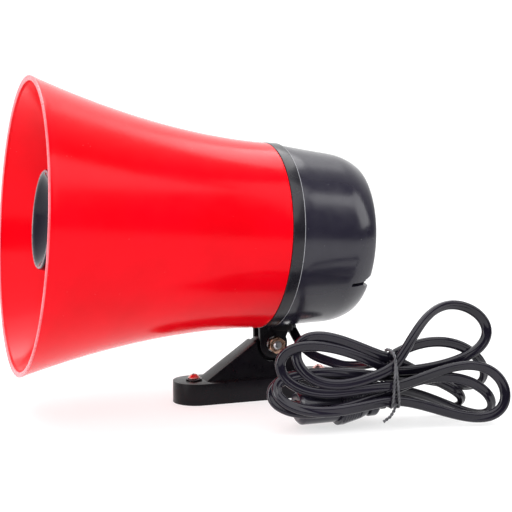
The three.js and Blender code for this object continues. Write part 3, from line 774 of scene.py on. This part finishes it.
def make_panel():
    """The rear panel with its holes, the dial's marks, the rims round the buttons and four screws."""
    screw_ring = 40.5
    mic_gap, mic_z = 2.6, 26
    corners = [math.radians(a) for a in (45, 135, 225, 315)]
    plate = fillet([(93.5, 0, 0), (93.5, 46.1, 0.3), (PANEL_FACE, 46.1, 0.5), (PANEL_FACE, 0, 0)])
    panel = turned("control_panel", plate, MATTE, HORN, 128, closed=False)

    def hole(y, z, radius, segments=32):
        return rod("hole", (90, y, z), (100, y, z), radius, MATTE, HORN, segments)

    holes = [hole(0, KNOB_Z, 3.3)]
    for y in (-BUTTON_SIDE, BUTTON_SIDE):
        holes.append(hole(y, BUTTON_SIDE, 6.3))
    for row in range(-1, 2):
        for column in range(-1, 2):
            holes.append(hole(column * mic_gap, mic_z + row * mic_gap, 0.75, 12))
    for a in corners:
        holes.append(hole(screw_ring * math.cos(a), screw_ring * math.sin(a), 1.9, 24))
    cut(panel, *holes)
    bevelled(panel, 0.25, 2, 45)
    settle(panel, "horn", "black_matte", "rear_panel")
    marks = []
    for k in range(11):
        a = math.radians(-225 + 27 * k) + math.pi / 2
        turn = HORN @ Matrix.Translation((PANEL_FACE, 0, KNOB_Z)) @ Matrix.Rotation(a, 4, "X")
        end = 15.6 if k % 5 == 0 else 14.4
        mark = block(f"dial_mark_{k}", (-0.2, 12.6, -0.3), (0.35, end, 0.3), STEEL, turn)
        marks.append(bevelled(mark, 0.1, 2))
    collars = []
    for name, y in (("play", -BUTTON_SIDE), ("record", BUTTON_SIDE)):
        rim = fillet([(96.02, 6.5, 0), (97.0, 6.7, 0.3), (97.0, 8.0, 0.4), (96.02, 8.4, 0)])
        place = HORN @ Matrix.Translation((0, y, BUTTON_SIDE))
        collars.append(turned(f"button_rim_{name}", rim, GLOSS, place, 64))
    for item in marks + collars:
        settle(item, "horn", "zinc_steel" if item in marks else "black_gloss")
    for i, a in enumerate(corners):
        place = HORN @ Matrix.Translation((96.3, screw_ring * math.cos(a), screw_ring * math.sin(a)))
        screw_head(f"panel_fixing_{i + 1}", place, 3.0, 1.5, STEEL, "horn", "zinc_steel",
                   f"panel_screw_{i + 1}")


def make_controls():
    flutes, depth = 28, 0.35  # depth is half of a flute's

    def fluted(x, r, a):
        inside = 97.4 < x < 104.0 and r > 9.5
        return r - (depth * (1 + math.cos(flutes * a)) if inside else 0)

    side = [(96.4, 11, 0.3), (97.6, 11, 0.2), (103.4, 10.6, 0.9)]
    top = [(105.5, 9.3, 1.0), (105.2, 7.4, 0.5), (105.0, 4, 1), (105.3, 0, 0)]
    profile = [(92.2, 0), (92.2, 2.9), (96.4, 2.9)] + fillet(side + top)
    place = HORN @ Matrix.Translation((0, 0, KNOB_Z))
    knob = turned("dial", profile, GLOSS, place, 224, closed=False, sharp=50, ripple=fluted)
    settle(knob, "knob", "black_gloss", "volume_knob")
    pointer = block("dial_pointer", (104.6, -0.6, -8.6), (105.7, 0.6, -3.2), STEEL, HORN)
    settle(bevelled(pointer, 0.25, 2), "knob", "zinc_steel")
    for name, y, material, slot in (("play", -BUTTON_SIDE, RED, "red_plastic"),
                                    ("record", BUTTON_SIDE, GLOSS, "black_gloss")):
        top = [(99.2 - 0.8 * (1 - r / 5.2) ** 2, r) for r in (5.2, 4.2, 3.0, 1.6, 0)]
        edge = fillet([(96, 6, 0), (99.2, 6, 0.8), (99.2, 5.2, 0)])[:-1]
        shape = [(91.2, 0), (91.2, 7.2), (92.9, 7.2), (92.9, 6)] + edge + top
        place = HORN @ Matrix.Translation((0, y, BUTTON_SIDE))
        cap = turned(f"{name}_cap", shape, material, place, 72, closed=False)
        settle(cap, name, slot, f"{name}_button")


# ---- Foot ----
def hexagon(r, turn=0.0):
    corners = [math.radians(60 * i + turn) for i in range(6)]
    return [(r * math.cos(a), r * math.sin(a)) for a in corners]


def thread(name, start, end, radius, material, place):
    """A threaded rod along X with a domed, chamfered end at start."""
    pitch = 1.0
    profile = [(start, 0), (start + 0.05, radius - 1.1), (start + 0.7, radius - 0.35)]
    x = start + 0.9
    while x < end - pitch:
        profile += [(x, radius - 0.42), (x + pitch * 0.42, radius), (x + pitch * 0.58, radius)]
        x += pitch
    profile += [(end, radius), (end, 0)]
    return turned(name, profile, material, place, 48, closed=False, sharp=28)


def make_hinge():
    """An M6 bolt along Y with its head, nut and two washers."""
    across_flats = 10
    x, z = HINGE
    across = Matrix.Translation((x, 0, z)) @ Matrix.Rotation(math.radians(90), 4, "Z")
    for name, y0, y1 in (("near", -8.5, -7.3), ("far", 7.3, 8.5)):
        profile = fillet([(y0, 3.2, 0), (y0, 5.3, 0.25), (y1, 5.3, 0.25), (y1, 3.2, 0)])
        washer = turned(f"washer_{name}", profile, STEEL, across, 64)
        settle(washer, "root", "zinc_steel", f"hinge_washer_{name}")
    shaft = thread("bolt_shaft", -14.6, 9.3, 3.0, STEEL, across)
    settle(shaft, "root", "zinc_steel", "hinge_bolt")
    spin = Matrix.Translation((x, 0, z))
    for name, low, high, material, slot, node in (
            ("bolt_head", 8.8, 12.8, STEEL, "zinc_steel", None),
            ("bolt_nut", -13.8, -8.8, COPPER, "copper_plated", "hinge_nut")):
        outline = hexagon(across_flats / math.sqrt(3), 22)
        body = prism(name, outline, low, high, material, spin)
        # The corners are turned down on both faces, as on any nut or bolt head.
        under, over = low - 0.01, high + 0.01
        drum = [(under, 0), (under, 4.9), (low + 0.7, 5.9), (high - 0.7, 5.9), (over, 4.9), (over, 0)]
        combined(body, turned("round", drum, material, across, 64, closed=False), "INTERSECT")
        if node:
            hole = [(low - 1, 0), (low - 1, 3.5), (low + 0.4, 3.1), (high + 1, 3.1), (high + 1, 0)]
            cut(body, turned("bore", hole, material, across, 48, closed=False))
        bevelled(body, 0.22, 2, 25)
        settle(body, "root", slot, *([node] if node else []))


def make_foot():
    """The bracket in the CAD's own shape, and a screw and a washer at each end of its foot."""
    bracket = refined("mounting_bracket", MATTE, 0.75, 3, 28, "foot_bracket")
    settle(bracket, "root", "black_matte", "mounting_bracket")
    upright = Matrix.Rotation(math.radians(-90), 4, "Y")
    screw_x = 43.5
    for name, x in (("left", -screw_x), ("right", screw_x)):
        ring = fillet([(13.9, 2.4, 0), (13.9, 5.2, 0.25), (14.8, 5.2, 0.25), (14.8, 2.4, 0)])
        place = Matrix.Translation((x, 0, 0)) @ upright
        # Painted shade: the washer's dark steel stands for the shadow under the screw head.
        washer = turned(f"foot_ring_{name}", ring, WASHER_SHADE_STEEL, place, 56)
        settle(washer, "root", "zinc_steel", f"foot_washer_{name}")
        screw_head(f"foot_fixing_{name}", Matrix.Translation((x, 0, 15.1)) @ upright, 4.0, 2.6, SCREW, "root",
                   "copper_plated", f"foot_screw_{name}", length=13.4, shank=2.0)


# ---- Plug ----
def make_plug():
    """A 12 V vehicle plug along X, with its tip towards -X."""
    pieces = []

    def add(name, profile, material, slot, node, sharp=34, segments=80, closed=False, ripple=None):
        made = turned(name, profile, material, PLUG, segments, closed, sharp, ripple)
        pieces.append(settle(made, "tip" if node == "plug_tip" else "root", slot, node))
        return made

    tip = fillet([(-15.4, 0, 0), (-15.4, 2.2, 0.8), (-13.6, 3.6, 0.9), (-6.4, 3.6, 0.2), (-6.4, 5, 0.2),
                  (-5.2, 5, 0.1), (-5.2, 0, 0)])
    add("plug_pin", tip, STEEL, "zinc_steel", "plug_tip")
    outside = [(-9.2, 4.2, 0.3), (-9.2, 8.2, 0.6), (-7, 10.5, 1.0), (4, 10.5, 0), (15.4, 10.5, 0.4)]
    inside = [(15.4, 6.6, 0), (-4.6, 6.6, 0), (-4.6, 5.6, 0), (-7.2, 5.6, 0), (-7.2, 4.2, 0)]
    barrel = add("plug_body", fillet(outside + inside), GLOSS, "black_gloss", "plug_barrel", closed=True)
    for side, word in ((-1, "left"), (1, "right")):
        turn = PLUG @ Matrix.Rotation(math.radians(90 * -side), 4, "X")
        cut(barrel, block("window", (-4.4, -2.2, 6), (9.2, 2.2, 14), GLOSS, turn))
        spring = refined(f"plug_contact_{word}", STEEL, 0.25, 2)
        pieces.append(settle(spring, "root", "zinc_steel", f"plug_contact_{word}"))
    fuse = fillet([(-4.2, 0, 0), (-4.2, 3.1, 0.3), (0, 3.1, 0.1), (0.1, 2.9, 0.1), (9.6, 2.9, 0.1),
                   (9.7, 3.1, 0.1), (13.8, 3.1, 0.3), (13.8, 0, 0)])
    add("plug_fuse_body", fuse, STEEL, "zinc_steel", "plug_fuse")

    rib_pitch, rib_depth = 1.9, 0.28  # depth is half of a groove's

    def grip(x, r, a):
        held = 16.6 < x < 29 and abs(math.sin(a)) < 0.72
        return r - (rib_depth * (1 + math.cos(x * 2 * math.pi / rib_pitch)) if held else 0)

    straight = [(15.7 + 0.25 * i, 12.5) for i in range(1, 14)]
    taper = [(19 + 0.25 * i, 12.5 - i * 0.25 * 2.5 / 11) for i in range(1, 44)]
    end = [(30.2, 9.92), (34.6, 8.3), (35.2, 7.9), (35.4, 7.4), (35.4, 0)]
    handle = [(15.7, 0), (15.7, 11.6), (15.9, 12.2)] + straight + taper + end
    add("plug_grip", handle, GLOSS, "black_gloss", "plug_handle", segments=112, ripple=grip, sharp=50)
    collar = fillet([(35.7, 0, 0), (35.7, 9, 0.5), (40.4, 9, 0.8), (43.2, 6, 0.5), (43.2, 0, 0)])
    add("plug_ring", collar, GLOSS, "black_gloss", "plug_collar")
    relief = [(43.5, 0, 0)]
    for i in range(4):
        x, r = 43.5 + i * 6.2, 5.6 - i * 0.45
        relief += [(x, r, 0.4), (x + 4, r, 0.5), (x + 4, r - 1.4, 0.3), (x + 6.2, r - 1.4, 0.3)]
    relief[-1] = (68.1, relief[-1][1], 0.3)
    relief += [(68.1, 0, 0)]
    add("plug_sleeve", fillet(relief, 3), RUBBER, "black_rubber", "plug_strain_relief", segments=48)
    return pieces


# ---- Stage ----
def area_light(name, place, target, size, power):
    """A white lamp. Places and size are in metres, power in watts."""
    data = bpy.data.lights.new(name, "AREA")
    data.shape = "RECTANGLE"
    data.size, data.size_y = size
    data.energy = power
    lamp = bpy.data.objects.new(name, data)
    lamp.location = place
    aim = Vector(target) - Vector(place)
    lamp.rotation_euler = aim.to_track_quat("-Z", "Y").to_euler()
    bpy.context.scene.collection.objects.link(lamp)
    return lamp


def make_world():
    """White behind the object and for the eye, dimmer on the side that its front faces."""
    world = bpy.data.worlds.new("studio")
    bpy.context.scene.world = world
    world.use_nodes = True
    tree = world.node_tree
    sky = tree.nodes["Background"]
    direction = tree.nodes.new("ShaderNodeTexCoord")
    parts = tree.nodes.new("ShaderNodeSeparateXYZ")
    link(tree, direction.outputs["Generated"], parts.inputs["Vector"])
    behind = spread(tree, parts.outputs["Y"], -0.2, 0.55, 0.04, 1.15)
    rays = tree.nodes.new("ShaderNodeLightPath")
    seen = tree.nodes.new("ShaderNodeMath")
    seen.operation = "MAXIMUM"
    link(tree, behind, seen.inputs[0])
    link(tree, rays.outputs["Is Camera Ray"], seen.inputs[1])
    link(tree, seen.outputs[0], sky.inputs["Strength"])
    sky.inputs["Color"].default_value = (1, 1, 1, 1)


def make_stage():
    """A pale floor that glows a little, a soft sun and three lamps."""
    paper = surface("pale_floor", (0.36, 0.36, 0.36), (0.34, 0.34, 0.345), (0.7, 0.85),
                    grain=(60, 0.02, 0.0005), patch=2, specular=0.1)
    glow = paper.node_tree.nodes["Principled BSDF"]
    glow.inputs["Emission Color"].default_value = (1, 1, 1, 1)
    glow.inputs["Emission Strength"].default_value = 0.66
    far = 9000
    corners = [(-far, -far, 0), (far, -far, 0), (far, far, 0), (-far, far, 0)]
    floor = make("floor", corners, [(0, 1, 2, 3)], paper)
    make_world()
    sun = bpy.data.objects.new("overhead", bpy.data.lights.new("overhead", "SUN"))
    sun.data.energy = 2.3
    sun.data.angle = math.radians(60)
    sun.rotation_euler = Vector((-0.05, -0.42, -1)).to_track_quat("-Z", "Y").to_euler()
    bpy.context.scene.collection.objects.link(sun)
    area_light("key", (-0.35, -0.85, 1.35), (-0.02, 0, 0.09), (2.9, 1.7), 34)
    area_light("fill", (1.0, -0.55, 0.7), (0.02, 0, 0.08), (0.5, 0.8), 4)
    area_light("mouth", (-1.25, -0.35, 0.42), (-0.13, 0.02, 0.1), (0.7, 0.7), 9)
    bpy.context.scene.view_settings.view_transform = "Standard"


make_camera()
flex, flex_line = make_flex()
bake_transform(flex)
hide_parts("cord_lead", "cord_hank", "cord_tail")
tie = make_tie()
gland = make_gland()
plug_pieces = make_plug()
make_bell()
make_collar()
make_cover()
make_cone()
make_sound_path()
make_panel()
make_controls()
make_foot()
make_hinge()
paint(INNER, "driver_frame")
paint(AMBER, "driver_diaphragm")
paint(COPPER, "voice_coil")
paint(STEEL, "driver_top_plate", "driver_yoke", "volume_potentiometer", "play_button_switch",
      "record_button_switch", "microphone")
paint(FERRITE, "driver_magnet")
paint(BOARD, "circuit_board")
paint(RUBBER, "inner_power_lead", "speaker_wire_black")
paint(WIRE_RED, "speaker_wire_red")
make_stage()
